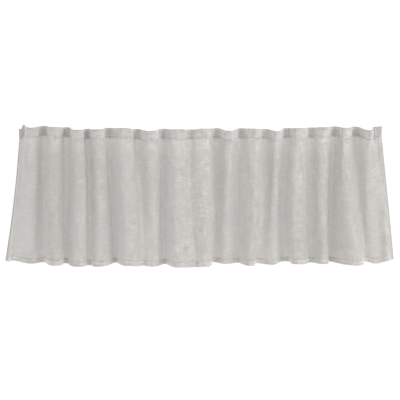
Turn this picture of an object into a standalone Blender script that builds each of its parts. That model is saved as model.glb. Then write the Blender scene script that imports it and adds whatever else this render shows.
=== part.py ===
"""Window valance: one length of light linen-look cloth, hemmed all round and hung in uneven upright folds
from a narrow heading, with a woven heading tape sewn flat behind its top edge.

Metres, +Z up. The origin is the middle of the top edge, where the heading is held up. X runs along the width,
-Y is the room side and the cloth hangs down to about z = -0.45.
"""
from collections import namedtuple
from math import pi

import bmesh
import bpy
import numpy as np

MM = 0.001

# Cut sizes of the cloth
DROP = 450 * MM                # top edge to hem edge, along the cloth
CUT_WIDTH = 2000 * MM          # flat width between the two side edges
GATHERED = 0.06                # share of that width taken up by fine gathers at the top edge, none at the hem
LAYER = 1.1 * MM               # one layer of cloth with its nap
TURNED = 2 * LAYER             # thickness where the cloth is turned back and stitched
BOTTOM_HEM = 16 * MM
SIDE_HEM = 11 * MM
TOP_TURNING = 31 * MM
LEDGE = 1 * MM                 # length over which a turning's edge steps down to one layer

# Heading tape
TAPE_TOP = 8 * MM              # below the top edge
TAPE_HEIGHT = 20 * MM
TAPE_THICKNESS = 1.0 * MM
SEWING_GAP = 0.3 * MM          # clearance between the cloth's back and the tape

# Finishes, as linear colours
CLOTH_COLOUR = (0.53, 0.51, 0.48)
CLOTH_ROUGHNESS = 0.95
TAPE_COLOUR = (0.66, 0.65, 0.62)
TAPE_ROUGHNESS = 0.85

# Mesh steps
STEPS_PER_FOLD = 6             # columns between a ridge and the next trough
HEM_COLUMNS = 2                # columns of points that the side hem takes up at each side
CURVE_STEPS = 48               # fine steps used to measure a fold's length
BODY_ROWS = 7                  # rows of faces between the heading and the bottom hem

# Search for the folds' depth, as a share of the depth in the fold table
SHALLOWEST = 0.5
DEEPEST = 2.0
SEARCH_HALVINGS = 30

# Each row is a ridge (R), a trough (T) or a side edge, from left to right, in millimetres.
# x_top, x_middle, x_hem: its place along the width at the heading, half way down and at the hem.
# y_top, y_hem: how far it stands behind (+) or in front (-) of the line it hangs from.
# rise: height of the top edge there. turn_top, turn_hem: how far its turn runs level to each side, so that a
# close neighbour ends up under its overhanging side.
Fold = namedtuple("Fold", "name x_top x_middle x_hem y_top y_hem rise turn_top turn_hem")

FOLDS = (
    Fold("left_edge", -594, -622, -658, 24, 64, -9, 10, 12),
    Fold("left_corner", -579, -602, -620, 18, -22, 7, 12, 16),
    Fold("R0", -545, -554, -556, -18, -34, 4, 24, 20),
    Fold("T0", -509, -511, -520, 14, -18, 4, 24, 15),
    Fold("R1", -471, -476, -472, -24, -106, 7, 33, 31),
    Fold("T1", -434, -443, -447, 8, -20, 1, 20, 14),
    Fold("R2", -396, -391, -402, -32, -70, -1, 30, 30),
    Fold("T2", -370, -362, -367, 6, -30, -4, 16, 16),
    Fold("R3", -328, -324, -330, -28, -72, 0, 28, 30),
    Fold("T3", -299, -291, -281, 7, 9, -1, 19, 13),
    Fold("R4", -243, -232, -234, -26, -86, 4, 36, 34),
    Fold("T4", -206, -194, -190, 2, -40, -4, 16, 12),
    Fold("R5", -159, -152, -158, -34, -47, -4, 24, 24),
    Fold("T5", -121, -124, -116, 6, 2, -4, 18, 13),
    Fold("R6", -67, -68, -71, -26, -90, 0, 32, 31),
    Fold("T6", -34, -32, -17, -6, -72, -4, 14, 14),
    Fold("R7", 14, 19, 20, -24, -90, 2, 28, 29),
    Fold("T7", 54, 47, 43, 6, 22, -2, 20, 11),
    Fold("R8", 96, 90, 88, -34, -4, -4, 23, 15),
    Fold("T8", 129, 121, 127, 6, 14, -2, 16, 12),
    Fold("R9", 178, 176, 168, -26, -66, 2, 24, 27),
    Fold("T9", 211, 208, 190, -2, 4, -3, 20, 18),
    Fold("R10", 250, 244, 243, -32, -14, -5, 20, 16),
    Fold("T10", 283, 276, 286, 4, 32, -1, 26, 28),
    Fold("R11", 318, 313, 324, -26, -50, 4, 34, 35),
    Fold("T11", 360, 361, 371, 2, 4, 1, 20, 15),
    Fold("R12", 399, 400, 409, -26, -60, 7, 24, 27),
    Fold("T12", 436, 431, 433, 6, 2, 4, 20, 14),
    Fold("R13", 472, 475, 514, -28, -110, 5, 24, 37),
    Fold("T13", 505, 521, 551, 15, -4, 2, 18, 16),
    Fold("R14", 547, 562, 588, -28, -12, -3, 19, 30),
    Fold("T14", 560, 599, 620, -20, -30, 7, 5, 14),
    Fold("right_edge", 586, 618, 646, -22, 8, 7, 8, 10),
)


def column(name):
    """One column of the fold table as an array."""
    return np.array([getattr(fold, name) for fold in FOLDS], dtype=float)


def through_three(top, middle, hem, t):
    """The parabola through a value at the top (t = 0), half way down (0.5) and at the hem (1)."""
    return (
        top * (2 * t - 1) * (t - 1)
        + middle * 4 * t * (1 - t)
        + hem * t * (2 * t - 1)
    )


def fold_curve(start, end, start_turn, end_turn):
    """The plan of the cloth from one row of the table to the next: a cubic curve that is level at both ends,
    with handles as long as the two turns. Returns fine points, one per line."""
    t = np.linspace(0, 1, CURVE_STEPS + 1)[:, None]
    return (
        start * (1 - t) ** 3
        + (start + [start_turn, 0]) * 3 * t * (1 - t) ** 2
        + (end - [end_turn, 0]) * 3 * t**2 * (1 - t)
        + end * t**3
    )


def plan_at(t, depth_scale):
    """The folds' plan at t down the cloth, as one fine curve for each pair of neighbours in the table."""
    x = through_three(column("x_top"), column("x_middle"), column("x_hem"), t) * MM
    y = (column("y_top") * (1 - t) + column("y_hem") * t) * MM
    turns = (column("turn_top") * (1 - t) + column("turn_hem") * t) * MM
    y = y.mean() + (y - y.mean()) * depth_scale
    points = np.stack([x, y], axis=1)
    return [fold_curve(*pair) for pair in zip(points[:-1], points[1:], turns[:-1], turns[1:])]


def run_length(curve):
    """Length measured along each point of a curve, from its start."""
    steps = np.linalg.norm(np.diff(curve, axis=0), axis=1)
    return np.concatenate([[0], np.cumsum(steps)])


def plan_of_cut_width(t):
    """The plan at t with its folds deepened or eased until it uses exactly the cut width less what the fine
    gathers take up there, since the cloth doesn't stretch."""
    width = CUT_WIDTH * (1 - GATHERED * (1 - t) ** 2)
    low, high = SHALLOWEST, DEEPEST
    for _ in range(SEARCH_HALVINGS):
        scale = (low + high) / 2
        if sum(run_length(curve)[-1] for curve in plan_at(t, scale)) < width:
            low = scale
        else:
            high = scale
    return plan_at(t, scale)


def stations(index, length):
    """Distances along one fold at which it gets a column: close together where it bends, and at the side
    hem's two lines on the outermost folds."""
    even = length * (1 - np.cos(pi * np.arange(STEPS_PER_FOLD + 1) / STEPS_PER_FOLD)) / 2
    if index not in (0, len(FOLDS) - 2):
        return even
    hem = [0, SIDE_HEM]
    rest = np.linspace(SIDE_HEM + LEDGE, length, STEPS_PER_FOLD + 1 - HEM_COLUMNS)
    spaced = np.concatenate([hem, rest])
    return spaced if index == 0 else length - spaced[::-1]


def row_at(t):
    """All columns' plan positions at t down the cloth, one point per line."""
    rows = []
    for index, curve in enumerate(plan_of_cut_width(t)):
        along = run_length(curve)
        places = stations(index, along[-1])
        points = np.stack([np.interp(places, along, curve[:, axis]) for axis in (0, 1)], axis=1)
        rows.append(points if index == 0 else points[1:])
    return np.concatenate(rows)


def top_edge_heights():
    """Height of the top edge at each column, eased from one row of the table to the next."""
    rise = column("rise") * MM
    step = np.arange(1, STEPS_PER_FOLD + 1) / STEPS_PER_FOLD
    ease = (1 - np.cos(pi * step)) / 2
    between = rise[:-1, None] * (1 - ease) + rise[1:, None] * ease
    return np.concatenate([rise[:1], between.ravel()])


def cloth_grid(distances):
    """Points of the cloth's room side at the given distances down from the top edge. The heading hangs
    straight down, and each column below it keeps its own length however it slants."""
    heights = top_edge_heights()
    grid = []
    last_distance = 0.0
    plan = last_plan = row_at(0)
    for distance in distances:
        if distance > TOP_TURNING:
            plan = row_at((distance - TOP_TURNING) / (DROP - TOP_TURNING))
        slant = np.linalg.norm(plan - last_plan, axis=1)
        heights = heights - np.sqrt((distance - last_distance) ** 2 - slant**2)
        grid.append(np.column_stack([plan, heights]))
        last_distance, last_plan = distance, plan
    return np.array(grid)


def sheet_object(name, grid, collection):
    """An open sheet through a grid of points, its faces turned to the room, as an object."""
    rows, columns = grid.shape[:2]
    mesh = bpy.data.meshes.new(name)
    bm = bmesh.new()
    verts = [bm.verts.new(point) for point in grid.reshape(-1, 3)]
    for row in range(rows - 1):
        for col in range(columns - 1):
            corner = row * columns + col
            below = corner + columns
            bm.faces.new((verts[corner], verts[below], verts[below + 1], verts[corner + 1]))
    bm.to_mesh(mesh)
    bm.free()
    mesh.shade_smooth()
    obj = bpy.data.objects.new(name, mesh)
    collection.objects.link(obj)
    return obj


def thicken(obj, thickness, offset):
    """Give an open sheet its wall, even on both sides of each bend."""
    wall = obj.modifiers.new("wall", "SOLIDIFY")
    wall.thickness = thickness
    wall.offset = offset
    wall.use_even_offset = True
    wall.use_quality_normals = True
    return wall


def finish(name, colour, roughness):
    """A plain matt finish."""
    material = bpy.data.materials.new(name)
    material.use_nodes = True
    shader = material.node_tree.nodes["Principled BSDF"]
    shader.inputs["Base Color"].default_value = (*colour, 1)
    shader.inputs["Roughness"].default_value = roughness
    shader.inputs["Metallic"].default_value = 0
    return material


def build_cloth(collection):
    """The hemmed cloth: one layer, twice as thick where its edges are turned back and stitched, which is in
    its first and last two rows and outermost columns."""
    body = np.linspace(TOP_TURNING, DROP - BOTTOM_HEM - LEDGE, BODY_ROWS + 1)
    distances = [0, TOP_TURNING - LEDGE, *body, DROP - BOTTOM_HEM, DROP]
    grid = cloth_grid(distances)
    obj = sheet_object("cloth", grid, collection)

    turned = np.ones(grid.shape[:2], dtype=bool)
    turned[2:-2, HEM_COLUMNS:-HEM_COLUMNS] = False
    layers = obj.vertex_groups.new(name="turned")
    layers.add(np.flatnonzero(turned).tolist(), 1.0, "REPLACE")
    wall = thicken(obj, TURNED, -1)
    wall.vertex_group = layers.name
    wall.thickness_vertex_group = LAYER / TURNED
    obj.data.materials.append(finish("linen_look_cloth", CLOTH_COLOUR, CLOTH_ROUGHNESS))
    return obj


def build_tape(collection):
    """The heading tape: a strip that follows the cloth's folds just behind its top turning, from side hem to
    side hem."""
    grid = cloth_grid([0, TAPE_TOP, TAPE_TOP + TAPE_HEIGHT])[1:, HEM_COLUMNS:-HEM_COLUMNS]
    obj = sheet_object("heading_tape", grid, collection)
    near = TURNED + SEWING_GAP
    far = near + TAPE_THICKNESS
    thicken(obj, TAPE_THICKNESS, -(near + far) / TAPE_THICKNESS)
    obj.data.materials.append(finish("woven_tape", TAPE_COLOUR, TAPE_ROUGHNESS))
    return obj


def main():
    """Clear the scene and build the valance."""
    for obj in list(bpy.data.objects):
        bpy.data.objects.remove(obj, do_unlink=True)
    collection = bpy.data.collections.new("window_valance")
    bpy.context.scene.collection.children.link(collection)
    build_cloth(collection)
    build_tape(collection)


main()
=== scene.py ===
"""Looks of the window valance: the hemmed linen-look cloth with its puckered heading, the woven heading tape
sewn behind it and the stitches that hold both, in a plain pale studio.

Metres, +Z up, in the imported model's frame: the origin is the middle of the top edge, -Y is the room side.
"""
import logging
from dataclasses import dataclass, field
from enum import Enum
from math import cos, pi, radians, sin

import bpy
import numpy as np
from bpy.types import Material, Node, NodeSocket, Object
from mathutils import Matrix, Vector


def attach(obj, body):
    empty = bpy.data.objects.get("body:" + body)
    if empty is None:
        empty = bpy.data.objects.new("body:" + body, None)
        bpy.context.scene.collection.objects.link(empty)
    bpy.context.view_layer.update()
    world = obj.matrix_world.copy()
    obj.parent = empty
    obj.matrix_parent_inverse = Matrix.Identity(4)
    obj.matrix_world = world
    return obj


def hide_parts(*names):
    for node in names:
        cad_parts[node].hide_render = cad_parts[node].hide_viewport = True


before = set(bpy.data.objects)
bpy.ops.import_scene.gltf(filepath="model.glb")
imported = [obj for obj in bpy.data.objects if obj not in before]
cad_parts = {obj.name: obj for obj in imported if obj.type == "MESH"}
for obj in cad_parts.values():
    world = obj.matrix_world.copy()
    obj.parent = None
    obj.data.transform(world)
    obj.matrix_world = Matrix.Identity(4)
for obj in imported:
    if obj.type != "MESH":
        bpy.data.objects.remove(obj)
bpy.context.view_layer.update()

MM = 0.001
BODY = "root"
UV_NAME = "cloth_metres"

log = logging.getLogger("valance")


# Sizes


@dataclass(frozen=True)
class Seam:
    """One row of stitches.

    Attributes:
        down: distance below the top edge.
        pucker: how far the gathered cloth stands out along it.
        reach: distance over which that fades.
    """

    down: float
    pucker: float
    reach: float


@dataclass(frozen=True)
class Sizes:
    """Cut and sewing sizes of the valance, in metres.

    Attributes:
        width: finished width of the cloth, laid flat.
        drop: its finished height.
        top_turning: how far the top edge is turned back.
        bottom_hem: the same at the bottom edge.
        side_hem: the same at both sides.
        tuck: how far each raw edge is turned under.
        cloth: thickness of one layer.
        layer_step: distance between two layers that lie on each other, middle to middle.
        tape_top: distance from the top edge to the tape.
        tape_height: height of the tape.
        tape: thickness of the tape.
        tape_behind: distance from the front layer to the tape, middle to middle.
        seam_inset: distance from a seam to the edge that it holds down.
    """

    width: float = 2000 * MM
    drop: float = 450 * MM
    top_turning: float = 31 * MM
    bottom_hem: float = 16 * MM
    side_hem: float = 11 * MM
    tuck: float = 8 * MM
    cloth: float = 0.6 * MM
    layer_step: float = 0.75 * MM
    tape_top: float = 8 * MM
    tape_height: float = 20 * MM
    tape: float = 0.9 * MM
    tape_behind: float = 3.0 * MM
    seam_inset: float = 1.5 * MM

    @property
    def upper_seam(self) -> Seam:
        """The heading's upper row of stitches."""
        return Seam(self.tape_top + self.seam_inset, pucker=0.7 * MM, reach=9 * MM)

    @property
    def lower_seam(self) -> Seam:
        """The heading's lower row of stitches."""
        return Seam(self.tape_top + self.tape_height - self.seam_inset, pucker=0.9 * MM, reach=11 * MM)

    @property
    def hem_seam(self) -> Seam:
        """The bottom hem's row of stitches."""
        return Seam(self.drop - self.bottom_hem + self.seam_inset, pucker=0.4 * MM, reach=9 * MM)

    @property
    def seams(self) -> tuple[Seam, Seam, Seam]:
        """All the rows of stitches that run across."""
        return self.upper_seam, self.lower_seam, self.hem_seam


# Shader maths


class Value:
    """A number carried by a shader socket, on which Python's operators add Math nodes."""

    def __init__(self, shader: "Shader", socket: NodeSocket) -> None:
        """Wrap one output socket of a shader's node."""
        self.shader = shader
        self.socket = socket

    def _math(self, operation: str, *terms: "Value | float") -> "Value":
        """The result of a Math node with the given operation and inputs."""
        node = self.shader.node("ShaderNodeMath", dict(enumerate(terms)), operation=operation)
        return Value(self.shader, node.outputs[0])

    def __add__(self, other: "Value | float") -> "Value":
        """Sum."""
        return self._math("ADD", self, other)

    __radd__ = __add__

    def __sub__(self, other: "Value | float") -> "Value":
        """Difference."""
        return self._math("SUBTRACT", self, other)

    def __rsub__(self, other: "Value | float") -> "Value":
        """Difference from a plain number."""
        return self._math("SUBTRACT", other, self)

    def __mul__(self, other: "Value | float") -> "Value":
        """Product."""
        return self._math("MULTIPLY", self, other)

    __rmul__ = __mul__

    def sine(self) -> "Value":
        """Sine of an angle in radians."""
        return self._math("SINE", self)

    def size(self) -> "Value":
        """Absolute value."""
        return self._math("ABSOLUTE", self)

    def ramp(self, low: float, high: float) -> "Value":
        """Smooth step.

        Args:
            low: value at and below which the result is 0.
            high: value at and above which the result is 1.

        Returns:
            The step as a number from 0 to 1.
        """
        inputs = {"Value": self, "From Min": low, "From Max": high}
        node = self.shader.node("ShaderNodeMapRange", inputs, interpolation_type="SMOOTHSTEP", clamp=True)
        return Value(self.shader, node.outputs[0])


@dataclass(frozen=True)
class Streaks:
    """A layer of cloudy noise, stretched to streaks, for uneven yarns.

    Attributes:
        length: length of a streak across, in metres.
        height: its height, in metres.
        pattern: number that picks a pattern of its own.
        tone: how much the layer changes the tone of the colour.
        relief: how much it stands out.
        detail: octaves of finer noise.
    """

    length: float
    height: float
    pattern: float
    tone: float
    relief: float = 0.0
    detail: float = 2.0


class Shader:
    """One material and the nodes in it."""

    NOISE_MIDDLE = 0.5

    def __init__(self, name: str) -> None:
        """Start an empty material.

        Args:
            name: its name.
        """
        self.material = bpy.data.materials.new(name)
        self.material.use_nodes = True
        self.tree = self.material.node_tree
        self.tree.nodes.clear()

    def node(self, kind: str, inputs: dict, **settings: object) -> Node:
        """Add one node.

        Args:
            kind: the node's type name.
            inputs: for each socket's name or index a number, a colour, a Value or another socket.
            settings: the node's own properties, set before its sockets.

        Returns:
            The node.
        """
        node = self.tree.nodes.new(kind)
        for key, setting in settings.items():
            setattr(node, key, setting)
        for key, given in inputs.items():
            if isinstance(given, Value):
                given = given.socket
            if isinstance(given, NodeSocket):
                self.tree.links.new(given, node.inputs[key])
            else:
                node.inputs[key].default_value = given
        return node

    def cloth_metres(self) -> tuple[Value, Value]:
        """The place on the flat cloth, from the piece's UV map.

        Returns:
            Metres across and metres down.
        """
        chart = self.node("ShaderNodeUVMap", {}, uv_map=UV_NAME)
        parts = self.node("ShaderNodeSeparateXYZ", {0: chart.outputs[0]})
        return Value(self, parts.outputs[0]), Value(self, parts.outputs[1])

    def noise(self, across: Value, down: Value, streaks: Streaks) -> Value:
        """Cloudy noise stretched to streaks.

        Args:
            across: metres across the flat cloth.
            down: metres down it.
            streaks: the streaks' size and pattern.

        Returns:
            Noise between 0 and 1, mostly near 0.5.
        """
        along = {0: across * (1 / streaks.length), 1: down * (1 / streaks.height), 2: streaks.pattern}
        place = self.node("ShaderNodeCombineXYZ", along)
        inputs = {"Vector": place.outputs[0], "Scale": 1.0, "Detail": streaks.detail}
        return Value(self, self.node("ShaderNodeTexNoise", inputs).outputs[0])

    def blend(self, factor: Value, low: tuple, high: tuple) -> NodeSocket:
        """Mix two plain colours.

        Args:
            factor: 0 for the low colour, 1 for the high one.
            low: linear colour.
            high: linear colour.

        Returns:
            The colour's socket.
        """
        inputs = {0: factor, 6: (*low, 1), 7: (*high, 1)}
        node = self.node("ShaderNodeMix", inputs, data_type="RGBA", clamp_factor=True)
        return node.outputs[2]

    def bump(self, height: Value, distance: float, strength: float) -> NodeSocket:
        """The normal of a height that is measured in units of a distance in metres."""
        node = self.node("ShaderNodeBump", {"Height": height, "Distance": distance, "Strength": strength})
        return node.outputs[0]

    def mix(self, share: Value | float, first: Node, second: Node) -> NodeSocket:
        """Mix two surfaces, of which the second has the given share."""
        node = self.node("ShaderNodeMixShader", {0: share, 1: first.outputs[0], 2: second.outputs[0]})
        return node.outputs[0]

    def output(self, surface: NodeSocket) -> Material:
        """Finish the material with the given surface."""
        self.node("ShaderNodeOutputMaterial", {"Surface": surface})
        return self.material


# Finishes


@dataclass(frozen=True)
class PaintedShadeAndPressLine:
    """A line of painted shade on the cloth, which looks a little darker; along a seam it is partly the
    cloth's own pressed line.

    Attributes:
        place: its distance from the top edge, or from the left edge where it runs down.
        reach: distance to each side at which its strength is halved.
        weight: its strength on the line itself.
    """

    place: float
    reach: float
    weight: float

    def strength(self, place: Value) -> Value:
        """Its strength at a place: all of it up to 0.4 of the reach, and none from 1.6 of the reach on."""
        away = (place - self.place).size()
        return self.weight * (1 - away.ramp(0.4 * self.reach, 1.6 * self.reach))


@dataclass(frozen=True)
class LinenFinish:
    """Loose plain weave of uneven yarns, matt, through which some light passes. Its tone runs from 0, the
    shade, to 1, the tint.

    Attributes:
        sizes: the valance's sizes, which say where the cloth lies double.
        shade: linear colour where the yarns lie thin.
        tint: linear colour where they lie thick.
        glow: linear colour of the light that comes through.
        sheerness: share of the light that comes through one wall of the cloth.
        turned_sheerness: the same where the cloth lies double, and another layer fills its gaps.
        tone_loss: how much of that share a tone that is higher by 1 takes away.
        slub_loss: how much of it a slub takes away.
        hem_share: how much of the turned cloth's look the narrow bottom hem has.
        evening: how much of the yarns' unevenness is lost where the cloth lies double.
        edge: half the width of a change from single to double cloth.
        tone: mean tone.
        heading_tone: how much lower the heading's tone is.
        painted_light_tone: painted light, how much higher the tone is in a band below the heading, against
            the shade of its deep folds.
        painted_light_fade: distances below the top edge between which that fades.
        painted_shade_and_press_tone: how much lower the tone is on a line of painted shade of strength 1,
            along a seam partly the cloth's own press.
        yarn: distance between two yarns, in metres.
        yarn_relief: how much they stand out.
        relief: height of a relief of 1, in metres.
        weft: long uneven yarns that run across.
        fine_weft: short ones.
        warp: uneven yarns that run down.
        cloud: wide patches.
        slubs: short thick places in the yarns that run across.
        slub_noise: values of the slubs' noise between which a slub rises.
    """

    sizes: Sizes
    shade: tuple[float, float, float] = (0.344, 0.331, 0.316)
    tint: tuple[float, float, float] = (0.730, 0.703, 0.672)
    glow: tuple[float, float, float] = (0.818, 0.808, 0.798)
    sheerness: float = 0.60
    turned_sheerness: float = 0.04
    tone_loss: float = 0.20
    slub_loss: float = 0.08
    hem_share: float = 0.90
    evening: float = 0.65
    edge: float = 0.8 * MM
    tone: float = 0.46
    heading_tone: float = 0.12
    # painted light in a band below the heading
    painted_light_tone: float = 0.25
    painted_light_fade: tuple[float, float] = (20 * MM, 110 * MM)
    # painted shade along the edges, the seams and the layers behind
    painted_shade_and_press_tone: float = 0.2
    yarn: float = 0.9 * MM
    yarn_relief: float = 0.35
    relief: float = 0.3 * MM
    weft: Streaks = Streaks(36 * MM, 5.5 * MM, pattern=0.0, tone=1.2, relief=0.45)
    fine_weft: Streaks = Streaks(14 * MM, 3.6 * MM, pattern=3.7, tone=1.9, relief=0.45)
    warp: Streaks = Streaks(6 * MM, 45 * MM, pattern=7.1, tone=1.0, relief=0.3)
    cloud: Streaks = Streaks(70 * MM, 60 * MM, pattern=11.3, tone=0.1)
    slubs: Streaks = Streaks(26 * MM, 3.4 * MM, pattern=17.9, tone=0.12, relief=0.5, detail=1.0)
    slub_noise: tuple[float, float] = (0.62, 0.76)

    def _past(self, place: Value, line: float) -> Value:
        """0 before a line and 1 past it."""
        return place.ramp(line - self.edge, line + self.edge)

    def _turned(self, across: Value, down: Value) -> Value:
        """Where the cloth lies double: one less the product of the steps past its four turnings.

        Args:
            across: metres across the flat cloth.
            down: metres down it.

        Returns:
            1 where the cloth lies double, the hem's share at the bottom hem, 0 elsewhere.
        """
        sizes = self.sizes
        single = self._past(down, sizes.top_turning)
        single = single * (1 - self.hem_share * self._past(down, sizes.drop - sizes.bottom_hem))
        inner = self._past(across, sizes.side_hem)
        outer = 1 - self._past(across, sizes.width - sizes.side_hem)
        return 1 - single * inner * outer

    def _painted_shade_and_press(self, across: Value, down: Value) -> Value:
        """Where shade is painted on the cloth: along its folded top edge, its bottom edge and its sides, and
        where the middle of the tape and the hem's tucked raw edge lie behind it; along its seams it is
        partly the cloth's own pressed line.

        Args:
            across: metres across the flat cloth.
            down: metres down it.

        Returns:
            The sum of the lines' strengths.
        """
        sizes = self.sizes
        # painted shade: a dark line at the folded top edge, lines along the seams and where the tape's
        # middle and the hem's tucked edge lie behind, and a wide band at the bottom edge against the light
        # from the floor below
        level = (
            PaintedShadeAndPressLine(0.0, 3.0 * MM, 1.0),
            PaintedShadeAndPressLine(sizes.upper_seam.down, 1.6 * MM, 0.6),
            PaintedShadeAndPressLine(sizes.tape_top + sizes.tape_height / 2, 1.4 * MM, 0.3),
            PaintedShadeAndPressLine(sizes.lower_seam.down, 1.6 * MM, 0.8),
            PaintedShadeAndPressLine(sizes.hem_seam.down, 1.4 * MM, 0.2),
            PaintedShadeAndPressLine(sizes.drop - sizes.bottom_hem + sizes.tuck, 1.6 * MM, 0.15),
            PaintedShadeAndPressLine(sizes.drop, 8.0 * MM, 0.5),
        )
        # painted shade: the side edges and the side hems made darker
        upright = (
            PaintedShadeAndPressLine(0.0, 3.0 * MM, 1.0),
            PaintedShadeAndPressLine(5.0 * MM, 12.0 * MM, 1.6),
            PaintedShadeAndPressLine(sizes.width, 3.0 * MM, 1.0),
            PaintedShadeAndPressLine(sizes.width - 6.0 * MM, 14.0 * MM, 2.0),
        )
        return sum(line.strength(down) for line in level) + sum(line.strength(across) for line in upright)

    def build(self) -> Material:
        """Make the material. The yarns' noise, counted from its middle, changes the tone, and a higher tone
        lets less light through.

        Returns:
            The material.
        """
        shader = Shader("linen_weave")
        across, down = shader.cloth_metres()
        layers = (self.weft, self.fine_weft, self.warp, self.cloud)
        yarns = [(shader.noise(across, down, streaks), streaks) for streaks in layers]
        slub = shader.noise(across, down, self.slubs).ramp(*self.slub_noise)
        turned = self._turned(across, down)
        uneven = sum((noise - shader.NOISE_MIDDLE) * streaks.tone for noise, streaks in yarns)
        tone = self.tone + uneven * (1 - turned * self.evening)
        heading = 1 - self._past(down, self.sizes.top_turning)
        # painted light: the band below the heading is made paler against the shade of its deep folds
        painted_light = (1 - heading) * (1 - down.ramp(*self.painted_light_fade))
        placed = painted_light * self.painted_light_tone - heading * self.heading_tone
        # painted shade along the edges, the seams and the layers behind
        placed = placed - self._painted_shade_and_press(across, down) * self.painted_shade_and_press_tone
        weave = (across * (pi / self.yarn)).sine() * (down * (pi / self.yarn)).sine()
        relief = weave * self.yarn_relief + sum(noise * streaks.relief for noise, streaks in yarns)
        normal = shader.bump(relief + slub * self.slubs.relief, self.relief, 0.6)
        cloth = shader.node("ShaderNodeBsdfPrincipled", {
            "Base Color": shader.blend(tone + slub * self.slubs.tone + placed, self.shade, self.tint),
            "Roughness": 0.97 - slub * 0.06,
            "Normal": normal,
            "Sheen Weight": 0.9,
            "Sheen Roughness": 0.6,
            "Specular IOR Level": 0.2,
        })
        through = shader.node("ShaderNodeBsdfTranslucent", {"Color": (*self.glow, 1), "Normal": normal})
        loss = (tone - self.tone) * self.tone_loss + slub * self.slub_loss
        sheer = self.sheerness - turned * (self.sheerness - self.turned_sheerness) - loss
        return shader.output(shader.mix(sheer, cloth, through))


@dataclass(frozen=True)
class TapeFinish:
    """Dense woven tape of pale cotton with upright ribs. Its tone runs from 0, the shade, to 1, the tint.

    Attributes:
        shade: linear colour between the ribs, their painted shade.
        tint: linear colour on them.
        sheerness: share of the light that comes through one wall of the tape.
        rib: distance between two ribs, in metres.
        pick: distance between two yarns that run across, in metres.
        tone: tone between the yarns.
        rib_tone: how much a rib adds, so that painted shade lies between the ribs.
        pick_tone: how much a yarn that runs across adds, so that painted shade lies between those yarns.
        pick_relief: how much it stands out, for a rib that stands out by 1.
        relief: height of a rib, in metres.
        wear: uneven patches.
    """

    shade: tuple[float, float, float] = (0.62, 0.61, 0.59)
    tint: tuple[float, float, float] = (0.80, 0.79, 0.77)
    sheerness: float = 0.35
    rib: float = 1.1 * MM
    pick: float = 0.66 * MM
    tone: float = 0.15
    rib_tone: float = 0.55
    pick_tone: float = 0.15
    pick_relief: float = 0.3
    relief: float = 0.2 * MM
    wear: Streaks = Streaks(14 * MM, 4 * MM, pattern=2.0, tone=0.8)

    def build(self) -> Material:
        """Make the material.

        Returns:
            The material.
        """
        shader = Shader("tape_weave")
        across, down = shader.cloth_metres()
        ribs = (across * (pi / self.rib)).sine().size()
        picks = (down * (pi / self.pick)).sine().size()
        wear = (shader.noise(across, down, self.wear) - shader.NOISE_MIDDLE) * self.wear.tone
        # painted shade between the ribs and between the yarns across, which also stand out in the bump
        tone = ribs * self.rib_tone + picks * self.pick_tone + wear + self.tone
        tape = shader.node("ShaderNodeBsdfPrincipled", {
            "Base Color": shader.blend(tone, self.shade, self.tint),
            "Roughness": 0.9 - ribs * 0.1,
            "Normal": shader.bump(ribs + picks * self.pick_relief, self.relief, 0.7),
            "Specular IOR Level": 0.25,
        })
        through = shader.node("ShaderNodeBsdfTranslucent", {"Color": (*self.tint, 1)})
        return shader.output(shader.mix(self.sheerness, tape, through))


@dataclass(frozen=True)
class ThreadFinish:
    """Twisted sewing thread, a little smoother than the cloth.

    Attributes:
        shade: linear colour in the twist's grooves, their painted shade.
        tint: linear colour on its plies.
        twist: length of one ply's turn, in metres.
        relief: height of a ply, in metres.
    """

    shade: tuple[float, float, float] = (0.42, 0.40, 0.36)
    tint: tuple[float, float, float] = (0.60, 0.58, 0.54)
    twist: float = 0.7 * MM
    relief: float = 0.08 * MM

    def build(self) -> Material:
        """Make the material.

        Returns:
            The material.
        """
        shader = Shader("sewing_thread")
        across, down = shader.cloth_metres()
        plies = ((across + down) * (pi / self.twist)).sine().size()
        thread = shader.node("ShaderNodeBsdfPrincipled", {
            # painted shade in the twist's grooves, which also sink in the bump
            "Base Color": shader.blend(plies, self.shade, self.tint),
            "Roughness": 0.75 - plies * 0.15,
            "Normal": shader.bump(plies, self.relief, 0.6),
        })
        return shader.output(thread.outputs[0])


@dataclass(frozen=True)
class FloorFinish:
    """Plain white matt floor.

    Attributes:
        colour: linear colour.
    """

    colour: tuple[float, float, float] = (0.96, 0.96, 0.96)

    def build(self) -> Material:
        """Make the material.

        Returns:
            The material.
        """
        shader = Shader("studio_floor")
        inputs = {"Base Color": (*self.colour, 1), "Roughness": 1.0, "Specular IOR Level": 0.0}
        floor = shader.node("ShaderNodeBsdfPrincipled", inputs)
        return shader.output(floor.outputs[0])


# Mesh helpers


def mesh_object(name: str, points: np.ndarray, faces: list[np.ndarray], chart: np.ndarray) -> Object:
    """Make an object from whole arrays.

    Args:
        name: the object's name.
        points: corner positions, one per line.
        faces: blocks of faces with the same number of corners, as corner numbers, one face per line.
        chart: UV place of each corner, in metres on the flat cloth.

    Returns:
        The smooth-shaded object, at the origin.
    """
    corners = np.concatenate([block.ravel() for block in faces])
    sides = np.concatenate([np.full(len(block), block.shape[1]) for block in faces])
    starts = np.concatenate([[0], np.cumsum(sides)[:-1]])
    mesh = bpy.data.meshes.new(name)
    mesh.vertices.add(len(points))
    mesh.vertices.foreach_set("co", points.astype(np.float32).ravel())
    mesh.loops.add(len(corners))
    mesh.loops.foreach_set("vertex_index", corners.astype(np.int32))
    mesh.polygons.add(len(starts))
    mesh.polygons.foreach_set("loop_start", starts.astype(np.int32))
    mesh.update(calc_edges=True)
    mesh.uv_layers.new(name=UV_NAME).data.foreach_set("uv", chart[corners].astype(np.float32).ravel())
    mesh.shade_smooth()
    obj = bpy.data.objects.new(name, mesh)
    bpy.context.scene.collection.objects.link(obj)
    return obj


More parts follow.
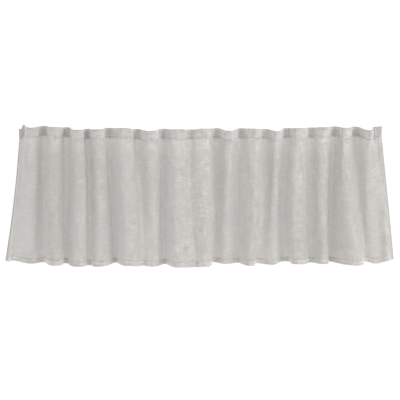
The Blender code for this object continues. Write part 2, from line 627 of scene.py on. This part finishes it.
def grid_object(name: str, points: np.ndarray, chart: np.ndarray) -> Object:
    """Make an object from a grid, whose faces look to the side from which rows run down and columns to the
    right.

    Args:
        name: the object's name.
        points: rows x columns x 3.
        chart: UV places, as rows x columns x 2.

    Returns:
        The smooth-shaded object, at the origin.
    """
    corner = np.arange(points[..., 0].size).reshape(points.shape[:2])
    around = [corner[:-1, :-1], corner[1:, :-1], corner[1:, 1:], corner[:-1, 1:]]
    faces = np.stack(around, axis=-1).reshape(-1, 4)
    return mesh_object(name, points.reshape(-1, 3), [faces], chart.reshape(-1, 2))


def unit(vectors: np.ndarray) -> np.ndarray:
    """Vectors scaled to length 1, along the last axis."""
    return vectors / np.linalg.norm(vectors, axis=-1, keepdims=True)


def thicken(obj: Object, thickness: float) -> None:
    """Give an open sheet its wall, half of it on each side.

    Args:
        obj: the sheet.
        thickness: the wall's thickness.
    """
    wall = obj.modifiers.new("wall", "SOLIDIFY")
    wall.thickness = thickness
    wall.offset = 0


# The hung shape


@dataclass(frozen=True)
class Fold:
    """One ridge (R), trough (T) or side of the hung cloth, in millimetres.

    Attributes:
        name: its name.
        x_top: place along the width at the heading.
        x_middle: place along the width half way down.
        x_hem: place along the width at the hem.
        y_top: how far it stands behind (+) or before (-) the line that the cloth hangs from, at the heading.
        y_hem: the same at the hem.
        rise: height of the top edge there.
        turn_top: how far its turn runs level to each side at the heading. The curve's handles are that long,
            so a close neighbour ends up under its overhanging side.
        turn_hem: the same at the hem.
    """

    name: str
    x_top: float
    x_middle: float
    x_hem: float
    y_top: float
    y_hem: float
    rise: float
    turn_top: float
    turn_hem: float


FOLDS = (
    Fold("left_edge", -594, -622, -658, 24, 64, -9, 10, 12),
    Fold("left_corner", -579, -602, -620, 18, -22, 7, 12, 16),
    Fold("R0", -545, -554, -556, -18, -34, 4, 24, 20),
    Fold("T0", -509, -511, -520, 14, -18, 4, 24, 15),
    Fold("R1", -471, -476, -472, -24, -106, 7, 33, 31),
    Fold("T1", -434, -443, -447, 8, -20, 1, 20, 14),
    Fold("R2", -396, -391, -402, -32, -70, -1, 30, 30),
    Fold("T2", -370, -362, -367, 6, -30, -4, 16, 16),
    Fold("R3", -328, -324, -330, -28, -72, 0, 28, 30),
    Fold("T3", -299, -291, -281, 7, 9, -1, 19, 13),
    Fold("R4", -243, -232, -234, -26, -86, 4, 36, 34),
    Fold("T4", -206, -194, -190, 2, -40, -4, 16, 12),
    Fold("R5", -159, -152, -158, -34, -47, -4, 24, 24),
    Fold("T5", -121, -124, -116, 6, 2, -4, 18, 13),
    Fold("R6", -67, -68, -71, -26, -90, 0, 32, 31),
    Fold("T6", -34, -32, -17, -6, -72, -4, 14, 14),
    Fold("R7", 14, 19, 20, -24, -90, 2, 28, 29),
    Fold("T7", 54, 47, 43, 6, 22, -2, 20, 11),
    Fold("R8", 96, 90, 88, -34, -4, -4, 23, 15),
    Fold("T8", 129, 121, 127, 6, 14, -2, 16, 12),
    Fold("R9", 178, 176, 168, -26, -66, 2, 24, 27),
    Fold("T9", 211, 208, 190, -2, 4, -3, 20, 18),
    Fold("R10", 250, 244, 243, -32, -14, -5, 20, 16),
    Fold("T10", 283, 276, 286, 4, 32, -1, 26, 28),
    Fold("R11", 318, 313, 324, -26, -50, 4, 34, 35),
    Fold("T11", 360, 361, 371, 2, 4, 1, 20, 15),
    Fold("R12", 399, 400, 409, -26, -60, 7, 24, 27),
    Fold("T12", 436, 431, 433, 6, 2, 4, 20, 14),
    Fold("R13", 472, 475, 514, -28, -110, 5, 24, 37),
    Fold("T13", 505, 521, 551, 15, -4, 2, 18, 16),
    Fold("R14", 547, 562, 588, -28, -12, -3, 19, 30),
    Fold("T14", 560, 599, 620, -20, -30, 7, 5, 14),
    Fold("right_edge", 586, 618, 646, -22, 8, 7, 8, 10),
)


@dataclass(frozen=True)
class FoldPlan:
    """The folds seen from above, at any level between the heading (0) and the hem (1).

    Attributes:
        folds: the ridges, troughs and sides from left to right.
        width: length of the cloth along every level, since it doesn't stretch.
        gathered: share of that length that small gathers take up at the heading.
        steps: fine steps from one fold to the next.
        shallowest: least factor on the folds' depth that the search tries.
        deepest: greatest factor that it tries.
        halvings: steps of the search.
    """

    folds: tuple[Fold, ...] = FOLDS
    width: float = Sizes.width
    gathered: float = 0.06
    steps: int = 48
    shallowest: float = 0.5
    deepest: float = 2.0
    halvings: int = 30

    def column(self, name: str) -> np.ndarray:
        """One attribute of all the folds, as an array."""
        return np.array([getattr(fold, name) for fold in self.folds], dtype=float)

    def curves(self, level: np.ndarray, depth: np.ndarray) -> np.ndarray:
        """The plan as one curve per level: between neighbouring folds a cubic curve that is level at both
        ends and whose handles are as long as the two folds' turns. Places across follow a parabola down the
        cloth, depths and turns a straight line.

        Args:
            level: levels, 0 at the heading and 1 at the hem.
            depth: for each level the factor on the folds' depth.

        Returns:
            Points as levels x points x (x, y).
        """
        t = level[:, None]
        top, middle, hem = (self.column(name) * MM for name in ("x_top", "x_middle", "x_hem"))
        x = top * (2 * t - 1) * (t - 1) + middle * 4 * t * (1 - t) + hem * t * (2 * t - 1)
        y = (self.column("y_top") * (1 - t) + self.column("y_hem") * t) * MM
        y = y.mean(axis=1, keepdims=True) + (y - y.mean(axis=1, keepdims=True)) * depth[:, None]
        turn = (self.column("turn_top") * (1 - t) + self.column("turn_hem") * t)[..., None] * MM
        s = np.arange(self.steps) / self.steps
        near, far = 3 * s * (1 - s) ** 2, 3 * s**2 * (1 - s)
        rise = far + s**3
        x_line = x[:, :-1, None] + np.diff(x)[..., None] * rise + turn[:, :-1] * near - turn[:, 1:] * far
        y_line = y[:, :-1, None] + np.diff(y)[..., None] * rise
        line = np.stack([x_line, y_line], axis=-1).reshape(len(level), -1, 2)
        return np.concatenate([line, np.stack([x[:, -1:], y[:, -1:]], axis=-1)], axis=1)

    @staticmethod
    def run(line: np.ndarray) -> np.ndarray:
        """Length along each curve from its left end to each of its points."""
        steps = np.linalg.norm(np.diff(line, axis=1), axis=2)
        return np.concatenate([np.zeros((len(line), 1)), np.cumsum(steps, axis=1)], axis=1)

    def fitted(self, level: np.ndarray) -> np.ndarray:
        """The plan whose folds are deepened or eased, by halving, until each level is as long as the cloth.

        Args:
            level: levels, 0 at the heading and 1 at the hem.

        Returns:
            Points as levels x points x (x, y).
        """
        length = self.width * (1 - self.gathered * (1 - level) ** 2)
        low = np.full(len(level), self.shallowest)
        high = np.full(len(level), self.deepest)
        for _ in range(self.halvings):
            depth = (low + high) / 2
            short = self.run(self.curves(level, depth))[:, -1] < length
            low = np.where(short, depth, low)
            high = np.where(short, high, depth)
        return self.curves(level, depth)


class Ripples:
    """An uneven wave: the sum of a few sines with their own wave lengths and phases."""

    def __init__(self, rng: np.random.Generator, lengths: tuple[float, ...], drift: float = 0.0) -> None:
        """Draw the phases.

        Args:
            rng: source of the phases.
            lengths: wave lengths across the cloth, in metres.
            drift: most that a crest moves across for each metre down.
        """
        self.waves = [
            (2 * pi / length, rng.uniform(0, 2 * pi), rng.uniform(-drift, drift)) for length in lengths
        ]

    def height(self, across: np.ndarray, down: np.ndarray) -> np.ndarray:
        """Height of the wave, about -1 to 1: the mean of its sines times the root of their number."""
        total = sum(np.sin(number * (across + slope * down) + phase) for number, phase, slope in self.waves)
        return total / len(self.waves) ** 0.5


class HungSurface:
    """The middle of the cloth's front layer as it hangs: a grid of points over distances down and columns
    across. Columns keep to their fold, and next to the sides to their distance from the edge."""

    SEED = 7
    PUCKER_WAVES = (11 * MM, 14.5 * MM, 19 * MM)
    GATHER_WAVES = (26 * MM, 34 * MM, 47 * MM)
    GATHER_DRIFT = 0.15
    GATHER_HEIGHT = 1.3 * MM
    GATHER_FADE = 70 * MM
    CREASE_WAVES = (58 * MM, 83 * MM, 121 * MM)
    CREASE_DRIFT = 0.25
    CREASE_HEIGHT = 0.9 * MM
    GROOVE_DEPTH = 0.5 * MM
    GROOVE_REACH = 1.6 * MM

    def __init__(self, sizes: Sizes, plan: FoldPlan, down: np.ndarray, places: np.ndarray) -> None:
        """Work out the surface.

        Args:
            sizes: the valance's sizes.
            plan: the folds' plan.
            down: distances below the top edge, from 0 to the drop.
            places: columns, as numbers from 0 at the left edge, 1 at the left hem's inner line and then one
                more at every fold, up to the right edge.
        """
        self.sizes = sizes
        self.plan = plan
        self.down = down
        self.places = places
        self.last_mark = len(plan.folds) + 1
        level = np.clip((down - sizes.top_turning) / (sizes.drop - sizes.top_turning), 0, 1)
        line = plan.fitted(level)
        run = plan.run(line)
        run = run * (sizes.width / run[:, -1:])
        self.across = self._across(run)
        flat = self._hang(line, run)
        room = self._room_side(flat)
        self.points = flat + room * self._relief()[..., None]
        self.room = self._room_side(self.points)

    def _across(self, run: np.ndarray) -> np.ndarray:
        """Length along each level to each column, a straight line between the marks on both sides of it.

        Args:
            run: length along each level's fine curve.

        Returns:
            Metres across, as levels x columns.
        """
        hem = np.full((len(run), 1), self.sizes.side_hem)
        folds = run[:, :: self.plan.steps]
        inner = np.concatenate([hem, folds[:, 1:-1], self.sizes.width - hem], axis=1)
        marks = np.concatenate([folds[:, :1], inner, folds[:, -1:]], axis=1)
        index = np.minimum(self.places.astype(int), self.last_mark - 1)
        share = self.places - index
        return marks[:, index] * (1 - share) + marks[:, index + 1] * share

    def _top_edge(self) -> np.ndarray:
        """The top edge, eased from fold to fold by half a cosine.

        Returns:
            Its height at each column.
        """
        rise = self.plan.column("rise") * MM
        rise = np.concatenate([rise[:1], rise[:1], rise[1:-1], rise[-1:], rise[-1:]])
        index = np.minimum(self.places.astype(int), self.last_mark - 1)
        ease = (1 - np.cos(pi * (self.places - index))) / 2
        return rise[index] * (1 - ease) + rise[index + 1] * ease

    def _hang(self, line: np.ndarray, run: np.ndarray) -> np.ndarray:
        """Hang the columns: each step down is as long as the cloth between two levels, so the more a column
        slants, the less it drops.

        Args:
            line: each level's fine curve.
            run: length along it.

        Returns:
            Points as levels x columns x (x, y, z).
        """
        apart = 2 * self.sizes.width * np.arange(len(run))[:, None]
        spread = (self.across + apart).ravel()
        plan = [np.interp(spread, (run + apart).ravel(), line[..., axis].ravel()) for axis in (0, 1)]
        x, y = (part.reshape(self.across.shape) for part in plan)
        slant = np.hypot(np.diff(x, axis=0), np.diff(y, axis=0))
        steps = np.sqrt(np.diff(self.down)[:, None] ** 2 - slant**2)
        fall = np.concatenate([np.zeros((1, len(self.places))), np.cumsum(steps, axis=0)])
        return np.stack([x, y, self._top_edge() - fall], axis=-1)

    def _relief(self) -> np.ndarray:
        """The small creases: puckers and a groove along each seam, gathers that fade below the heading, and
        long soft creases all over, each an uneven wave times its fading.

        Returns:
            How far they stand out to the room, as levels x columns.
        """
        rng = np.random.default_rng(self.SEED)
        pucker = Ripples(rng, self.PUCKER_WAVES)
        gather = Ripples(rng, self.GATHER_WAVES, self.GATHER_DRIFT)
        crease = Ripples(rng, self.CREASE_WAVES, self.CREASE_DRIFT)
        down = self.down[:, None]
        relief = self.CREASE_HEIGHT * crease.height(self.across, down)
        below = np.clip(down - self.sizes.lower_seam.down, 0, None)
        gathers = self.GATHER_HEIGHT * np.exp(-below / self.GATHER_FADE)
        relief = relief + gathers * gather.height(self.across, down)
        for seam in self.sizes.seams:
            away = down - seam.down
            puckers = seam.pucker * np.exp(-((away / seam.reach) ** 2))
            relief = relief + puckers * pucker.height(self.across, down)
            relief = relief - self.GROOVE_DEPTH * np.exp(-((away / self.GROOVE_REACH) ** 2))
        return relief

    @staticmethod
    def _room_side(points: np.ndarray) -> np.ndarray:
        """Unit normals on the room side: the cross product of the steps down and to the right."""
        return unit(np.cross(np.gradient(points, axis=0), np.gradient(points, axis=1)))

    def row(self, down: float) -> int:
        """The grid's row nearest to a distance below the top edge."""
        return int(np.abs(self.down - down).argmin())


# The cloth


@dataclass(frozen=True)
class Turning:
    """An edge turned back and its raw edge tucked under again, so that three layers lie on each other.

    Attributes:
        depth: how far the cloth is turned back.
        tuck: how far its raw edge is turned under.
        step: distance between two layers.
    """

    depth: float
    tuck: float
    step: float

    def unfold(self, inward: np.ndarray) -> np.ndarray:
        """Follow the cloth from its edge round to the back, up to the inner line and round to the raw edge:
        a half circle of the layer step's radius, the back layer, a half circle of half that radius, and the
        tucked layer between the front and the back.

        Args:
            inward: distances from the edge of the front layer's rows, from 0.

        Returns:
            One line per row: the front row that it lies behind, how far it lies behind it, how far it stands
            out past it towards the edge, and its distance from the edge along the cloth.
        """
        last = int(np.abs(inward - self.depth).argmin())
        first = int(np.abs(inward - self.depth + self.tuck).argmin())
        step, small = self.step, self.step / 2
        turn = pi * np.array([0.25, 0.5, 0.75])
        edge = [(0, step * (1 - cos(angle)), step * sin(angle), step * angle) for angle in turn]
        around = step * pi
        back = [(i, 2 * step, 0.0, around + inward[i]) for i in range(last + 1)]
        along = around + inward[last]
        inner = [
            (last, 2 * step - small * (1 - cos(angle)), -small * sin(angle), along + small * angle)
            for angle in turn
        ]
        along += small * pi
        tucked = [(i, step, 0.0, along + inward[last] - inward[i]) for i in range(last, first - 1, -1)]
        return np.array(edge + back + inner + tucked)


@dataclass
class Cloth:
    """The hemmed cloth as one sheet that hangs in folds, its four edges turned back.

    Attributes:
        sizes: the valance's sizes.
        plan: the folds' plan.
        heading_rows: rows of points in the heading, in millimetres below the top edge.
        pucker_rows: rows right below the heading, in the same way.
        body_rows: even steps from there to the bottom hem.
        hem_rows: rows in the bottom hem, in millimetres above the bottom edge.
        hem_places: columns in a side hem, from 0 at the edge to 1 at its inner line.
        per_fold: columns from one fold to the next.
        side_layers: layers in a side hem.
        side_ease: distance over which the top and bottom turnings ease down from them.
        surface: the middle of the front layer as it hangs.
    """

    NAME = "linen_cloth"

    sizes: Sizes
    plan: FoldPlan
    heading_rows: tuple[float, ...] = (0, 2.5, 5, 7.5, 9.5, 11.5, 14.5, 18, 21.5, 24.5, 26.5, 28.5, 31)
    pucker_rows: tuple[float, ...] = (34, 38, 43, 49, 56, 64)
    body_rows: int = 24
    hem_rows: tuple[float, ...] = (16, 14.5, 13, 10.5, 8, 5, 2.5, 0)
    hem_places: tuple[float, ...] = (0, 0.2, 0.45, 0.7, 0.86)
    per_fold: int = 15
    side_layers: int = 3
    side_ease: float = 7 * MM
    surface: HungSurface = field(init=False)

    def __post_init__(self) -> None:
        """Hang the cloth."""
        heading = np.array(self.heading_rows + self.pucker_rows) * MM
        hem = self.sizes.drop - np.array(self.hem_rows) * MM
        body = np.linspace(heading[-1], hem[0], self.body_rows + 1)[1:-1]
        down = np.concatenate([heading, body, hem])
        folds = len(self.plan.folds) - 1
        side = np.array(self.hem_places)
        between = 1 + np.arange(folds * self.per_fold + 1) / self.per_fold
        places = np.concatenate([side, between, (folds + 2 - side)[::-1]])
        self.surface = HungSurface(self.sizes, self.plan, down, places)

    def stack_at(self, across: np.ndarray) -> np.ndarray:
        """How many layers a turning along the top or bottom has to clear: three over the side hems, easing
        to one past them by a smooth step.

        Args:
            across: metres across the cloth.

        Returns:
            Number of layers at each place.
        """
        edge = np.minimum(across, self.sizes.width - across)
        ease = np.clip((edge - self.sizes.side_hem) / self.side_ease, 0, 1)
        return self.side_layers - (self.side_layers - 1) * ease**2 * (3 - 2 * ease)

    def unfolded(self) -> tuple[np.ndarray, np.ndarray]:
        """The whole sheet with its turnings.

        Returns:
            Its points as rows x columns x 3, and their places on the flat cloth as rows x columns x 2.
        """
        sizes, surface = self.sizes, self.surface
        down, across = surface.down, surface.across
        top = Turning(sizes.top_turning, sizes.tuck, sizes.layer_step).unfold(down)
        bottom = Turning(sizes.bottom_hem, sizes.tuck, sizes.layer_step).unfold(sizes.drop - down[::-1])
        side = Turning(sizes.side_hem, sizes.tuck, sizes.layer_step).unfold(across[0])
        rows = self._both_ends(top, bottom, len(down))
        columns = self._both_ends(side, side, across.shape[1])
        row = rows[:, 0].astype(int)[:, None]
        column = columns[:, 0].astype(int)[None, :]
        stack = self.stack_at(across[0])[column[0]]
        behind = rows[:, 1:2] * stack + columns[:, 1]
        fall = unit(np.gradient(surface.points, axis=0))
        right = unit(np.gradient(surface.points, axis=1))
        points = (
            surface.points[row, column]
            - surface.room[row, column] * behind[..., None]
            + fall[row, column] * (rows[:, 2:3] * stack)[..., None]
            + right[row, column] * columns[None, :, 2:3]
        )
        flat_across = across[row, column] + columns[None, :, 3]
        flat_down = np.broadcast_to(down[row] + rows[:, 3:4], flat_across.shape)
        return points, np.stack([flat_across, flat_down], axis=-1)

    @staticmethod
    def _both_ends(low: np.ndarray, high: np.ndarray, count: int) -> np.ndarray:
        """Join the turnings at both ends of an axis to its front rows.

        Args:
            low: the turning at the axis's start.
            high: the turning at its end, its rows counted from that end.
            count: number of front rows.

        Returns:
            One line per row of the sheet: front row, distance behind it, step along the axis from it, and
            what to add to the front row's place on the flat cloth.
        """
        front = np.column_stack([np.arange(count), np.zeros((count, 3))])
        before = low * [1, 1, -1, -1]
        after = high * [-1, 1, 1, 1] + [count - 1, 0, 0, 0]
        return np.concatenate([before[::-1], front, after])

    def build(self, finish: LinenFinish) -> Object:
        """Make the cloth.

        Args:
            finish: its finish.

        Returns:
            The piece.
        """
        obj = grid_object(self.NAME, *self.unfolded())
        thicken(obj, self.sizes.cloth)
        obj.data.materials.append(finish.build())
        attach(obj, BODY)
        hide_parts("cloth")
        return obj


# The heading tape


@dataclass(frozen=True)
class HeadingTape:
    """The woven tape behind the heading: a strip that follows the cloth's folds from side hem to side hem,
    with low upright pocket bars for hooks.

    Attributes:
        cloth: the cloth on whose back it lies.
        rows: rows of points, in millimetres below its upper edge.
        per_fold: columns from one fold to the next.
        bar_pitch: distance between two bars.
        bar_width: width of a bar.
        bar_relief: how far it stands out.
        bar_edge: width of its slope to each side.
        selvedge: distance from the tape's edges over which the bars rise.
    """

    NAME = "woven_tape"

    cloth: Cloth
    rows: tuple[float, ...] = (0, 0.6, 1.5, 2.8, 4.2, 6.5, 9, 11, 13.5, 15.8, 17.2, 18.5, 19.4, 20)
    per_fold: int = 26
    bar_pitch: float = 14 * MM
    bar_width: float = 7 * MM
    bar_relief: float = 0.45 * MM
    bar_edge: float = 1.2 * MM
    selvedge: float = 3.5 * MM

    def build(self, finish: TapeFinish) -> Object:
        """Make the tape: the cloth's surface, moved behind its turned layers, with a bar wherever the place
        along the tape is within half a bar's width of the middle of a pitch, and flat edges.

        Args:
            finish: its finish.

        Returns:
            The piece.
        """
        sizes, cloth = self.cloth.sizes, self.cloth
        tape_down = np.array(self.rows) * MM
        down = np.concatenate([[0], sizes.tape_top + tape_down, [sizes.drop]])
        folds = len(cloth.plan.folds) - 1
        places = 1 + np.arange(folds * self.per_fold + 1) / self.per_fold
        surface = HungSurface(sizes, cloth.plan, down, places)
        across = surface.across[1:-1]
        inside = np.clip(np.minimum(tape_down, sizes.tape_height - tape_down) / self.selvedge, 0, 1)[:, None]
        phase = np.abs((across / self.bar_pitch) % 1 - 0.5) * self.bar_pitch
        bar = np.clip((self.bar_width / 2 - phase) / self.bar_edge + 0.5, 0, 1) * inside
        layers = sizes.tape_behind + (cloth.stack_at(across) - 1) * 2 * sizes.layer_step
        points = surface.points[1:-1] - surface.room[1:-1] * (layers + self.bar_relief * bar)[..., None]
        chart = np.stack([across, np.broadcast_to(tape_down[:, None], across.shape)], axis=-1)
        obj = grid_object(self.NAME, points, chart)
        thicken(obj, sizes.tape)
        obj.data.materials.append(finish.build())
        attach(obj, BODY)
        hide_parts("heading_tape")
        sizes.width - 2 * sizes.side_hem
        return obj


# The stitches


class Face(Enum):
    """The face of the cloth that stitches lie on."""

    ROOM = 1
    WINDOW = -1


@dataclass(frozen=True)
class StitchRow:
    """A line of stitches on one face of the cloth.

    Attributes:
        along: length along the line at each of its points.
        points: the points, one per line.
        room: normals on the room side, one per line.
        lift: how far the thread's middle lies off the points, towards the face.
        face: the face.
    """

    along: np.ndarray
    points: np.ndarray
    room: np.ndarray
    lift: float
    face: Face


@dataclass(frozen=True)
class Stitching:
    """Machine stitches: short threads that rise out of the cloth and dip into it again.

    Attributes:
        pitch: distance between two stitches.
        length: length of thread that shows in one.
        radius: half the thread's thickness.
        proud: how far its middle lies off the cloth, in radii.
        dip: how far a stitch's ends sink into the cloth.
        end: share of the radius that its ends have.
        rings: cross-sections along a stitch.
        sides: corners of a cross-section.
    """

    pitch: float = 4.0 * MM
    length: float = 3.3 * MM
    radius: float = 0.24 * MM
    proud: float = 0.5
    dip: float = 0.3 * MM
    end: float = 0.45
    rings: int = 4
    sides: int = 5

    def lift(self, thickness: float) -> float:
        """How far the thread's middle lies off the middle of a layer of that thickness."""
        return thickness / 2 + self.proud * self.radius

    def threads(self, row: StitchRow) -> np.ndarray:
        """The stitches of one row: a round profile carried along each stitch, whose height above the cloth
        is half a sine wave less the dip, and whose radius shrinks at both ends.

        Args:
            row: the line that they follow.

        Returns:
            Points as stitches x rings x sides x 3.
        """
        count = int((row.along[-1] - row.along[0] - self.length) / self.pitch)
        start = row.along[0] + self.pitch * (0.5 + np.arange(count))
        share = np.linspace(0, 1, self.rings)
        place = start[:, None] + self.length * share
        middle = self._at(row, row.points, place)
        normal = unit(self._at(row, row.room, place)) * row.face.value
        forward = unit(np.gradient(middle, axis=1))
        sideways = np.cross(forward, normal)
        arch = np.sin(pi * share)
        middle = middle + normal * (row.lift - self.dip * (1 - arch))[:, None]
        radius = self.radius * (self.end + (1 - self.end) * arch)
        angle = 2 * pi * np.arange(self.sides) / self.sides
        ring = normal[:, :, None] * np.cos(angle)[:, None] + sideways[:, :, None] * np.sin(angle)[:, None]
        return middle[:, :, None] + ring * radius[:, None, None]

    @staticmethod
    def _at(row: StitchRow, values: np.ndarray, place: np.ndarray) -> np.ndarray:
        """Values of a row at lengths along it."""
        parts = [np.interp(place, row.along, values[:, axis]) for axis in range(3)]
        return np.stack(parts, axis=-1)

    def build(self, name: str, rows: list[StitchRow], material: Material) -> Object:
        """Make one piece of several rows of stitches.

        Args:
            name: the piece's name.
            rows: the rows.
            material: the thread's finish.

        Returns:
            The piece.
        """
        threads = np.concatenate([self.threads(row) for row in rows])
        count = len(threads)
        corner = np.arange(threads[..., 0].size).reshape(count, self.rings, self.sides)
        after = np.roll(corner, -1, axis=2)
        around = [corner[:, :-1], after[:, :-1], after[:, 1:], corner[:, 1:]]
        walls = np.stack(around, axis=-1).reshape(-1, 4)
        ends = np.concatenate([corner[:, 0, ::-1], corner[:, -1]])
        chart = np.stack(np.broadcast_arrays(
            self.length * np.linspace(0, 1, self.rings)[None, :, None],
            2 * pi * self.radius * np.arange(self.sides)[None, None, :] / self.sides,
            np.zeros((count, 1, 1)),
        )[:2], axis=-1)
        obj = mesh_object(name, threads.reshape(-1, 3), [walls, ends], chart.reshape(-1, 2))
        obj.data.materials.append(material)
        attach(obj, BODY)
        return obj


@dataclass(frozen=True)
class Sewing:
    """All the stitches of the valance, which follow the hung cloth.

    Attributes:
        cloth: the cloth that is sewn.
        stitching: the machine's setting.
    """

    cloth: Cloth
    stitching: Stitching

    def across(self, seam: Seam, face: Face, lift: float) -> StitchRow:
        """Follow a seam across the cloth, from side hem to side hem.

        Args:
            seam: the seam.
            face: the face that the stitches lie on.
            lift: how far the thread lies off the front layer's middle.

        Returns:
            The row of stitches.
        """
        surface = self.cloth.surface
        row = surface.row(seam.down)
        columns = slice(len(self.cloth.hem_places), -len(self.cloth.hem_places))
        place = row, columns
        return StitchRow(surface.across[place], surface.points[place], surface.room[place], lift, face)

    def down(self, column: int, face: Face, lift: float) -> StitchRow:
        """Follow a side hem from the top edge to the bottom edge.

        Args:
            column: the surface's column that it runs along.
            face: the face that the stitches lie on.
            lift: how far the thread lies off the front layer's middle.

        Returns:
            The row of stitches.
        """
        surface = self.cloth.surface
        rows = slice(surface.row(0), surface.row(self.cloth.sizes.drop) + 1)
        place = rows, column
        return StitchRow(surface.down[rows], surface.points[place], surface.room[place], lift, face)

    def build(self, finish: ThreadFinish) -> list[Object]:
        """Make the stitches of the heading, the bottom hem and the side hems, on both faces.

        Args:
            finish: the thread's finish.

        Returns:
            The pieces.
        """
        sizes = self.cloth.sizes
        thread = finish.build()
        front = self.stitching.lift(sizes.cloth)
        through_hem = (Face.ROOM, front), (Face.WINDOW, 2 * sizes.layer_step + front)
        through_tape = (Face.ROOM, front), (Face.WINDOW, sizes.tape_behind + self.stitching.lift(sizes.tape))
        seams = sizes.upper_seam, sizes.lower_seam
        heading = [self.across(seam, face, lift) for seam in seams for face, lift in through_tape]
        hem = [self.across(sizes.hem_seam, face, lift) for face, lift in through_hem]
        last = len(self.cloth.hem_places) - 1
        sides = [self.down(column, face, lift) for column in (last, -1 - last) for face, lift in through_hem]
        build = self.stitching.build
        return [
            build("heading_stitches", heading, thread),
            build("hem_stitches", hem, thread),
            build("side_stitches", sides, thread),
        ]


# The studio


@dataclass(frozen=True)
class Studio:
    """Plain pale studio: a wide white floor, even light from all round and one soft lamp from the right.

    Attributes:
        distance: camera to the aim point.
        elevation: camera's height above level, in degrees.
        aim: height of the aim point, below the top edge.
        pixels: width of the picture.
        pixel: width that one of them takes in at the aim point.
        sensor: width of the camera's sensor, in millimetres.
        floor_level: height of the floor.
        floor_size: side of the floor.
        world: strength of the even light.
        lamp_power: power of the lamp, in watts.
        lamp_size: side of the lamp.
        lamp_distance: lamp to the aim point.
        lamp_side: how far it stands to the right of straight in front, in degrees.
        lamp_height: its height above level, in degrees.
    """

    distance: float = 3.2
    elevation: float = 12.0
    aim: float = -238 * MM
    pixels: int = 400
    pixel: float = 3.3 * MM
    sensor: float = 36.0
    floor_level: float = -2.2
    floor_size: float = 60.0
    world: float = 1.08
    lamp_power: float = 31
    lamp_size: float = 0.9
    lamp_distance: float = 3.0
    lamp_side: float = 50.0
    lamp_height: float = 20.0

    def build(self) -> None:
        """Make the floor, the lights and the camera."""
        self._floor()
        self._world()
        self._lamp()
        self._camera()
        bpy.context.scene.view_settings.view_transform = "Standard"

    def _floor(self) -> None:
        """A wide square floor, far below the cloth."""
        half = self.floor_size / 2
        ends = np.linspace(-half, half, 3)
        x, y = np.meshgrid(ends, -ends)
        points = np.stack([x, y, np.full(x.shape, self.floor_level)], axis=-1)
        floor = grid_object("studio_floor", points, points[..., :2])
        floor.data.materials.append(FloorFinish().build())

    def _world(self) -> None:
        """Even white light from all round."""
        world = bpy.data.worlds.new("even_light")
        world.use_nodes = True
        sky = world.node_tree.nodes["Background"]
        sky.inputs["Color"].default_value = (1, 1, 1, 1)
        sky.inputs["Strength"].default_value = self.world
        bpy.context.scene.world = world

    def _lamp(self) -> None:
        """The large soft lamp, turned to the valance."""
        light = bpy.data.lights.new("soft_lamp", "AREA")
        light.shape = "SQUARE"
        light.size = self.lamp_size
        light.energy = self.lamp_power
        lamp = bpy.data.objects.new("soft_lamp", light)
        side, height = radians(self.lamp_side), radians(self.lamp_height)
        away = Vector((sin(side) * cos(height), -cos(side) * cos(height), sin(height)))
        lamp.location = away * self.lamp_distance + Vector((0, 0, self.aim))
        lamp.rotation_euler = away.to_track_quat("Z", "Y").to_euler()
        bpy.context.scene.collection.objects.link(lamp)

    def _camera(self) -> None:
        """The camera, straight in front and a little above, aimed at the valance's middle."""
        lens = bpy.data.cameras.new("photo_camera")
        lens.sensor_width = self.sensor
        lens.lens = self.sensor * self.distance / (self.pixels * self.pixel)
        camera = bpy.data.objects.new("photo_camera", lens)
        up = radians(self.elevation)
        camera.location = (0, -self.distance * cos(up), self.aim + self.distance * sin(up))
        camera.rotation_euler = (pi / 2 - up, 0, 0)
        bpy.context.scene.collection.objects.link(camera)
        bpy.context.scene.camera = camera


def main() -> None:
    """Build the valance and the studio, and report each piece."""
    logging.basicConfig(level=logging.INFO, format="%(message)s")
    sizes = Sizes()
    cloth = Cloth(sizes, FoldPlan())
    linen = cloth.build(LinenFinish(sizes))
    tape = HeadingTape(cloth).build(TapeFinish())
    stitches = Sewing(cloth, Stitching()).build(ThreadFinish())
    flat_width = sizes.width + 2 * (sizes.side_hem + sizes.tuck)
    flat_drop = sizes.drop + sizes.top_turning + sizes.bottom_hem + 2 * sizes.tuck
    Studio().build()
    for piece in (linen, tape, *stitches):
        log.info("%s: %d faces", piece.name, len(piece.data.polygons))


if __name__ == "__main__":
    main()
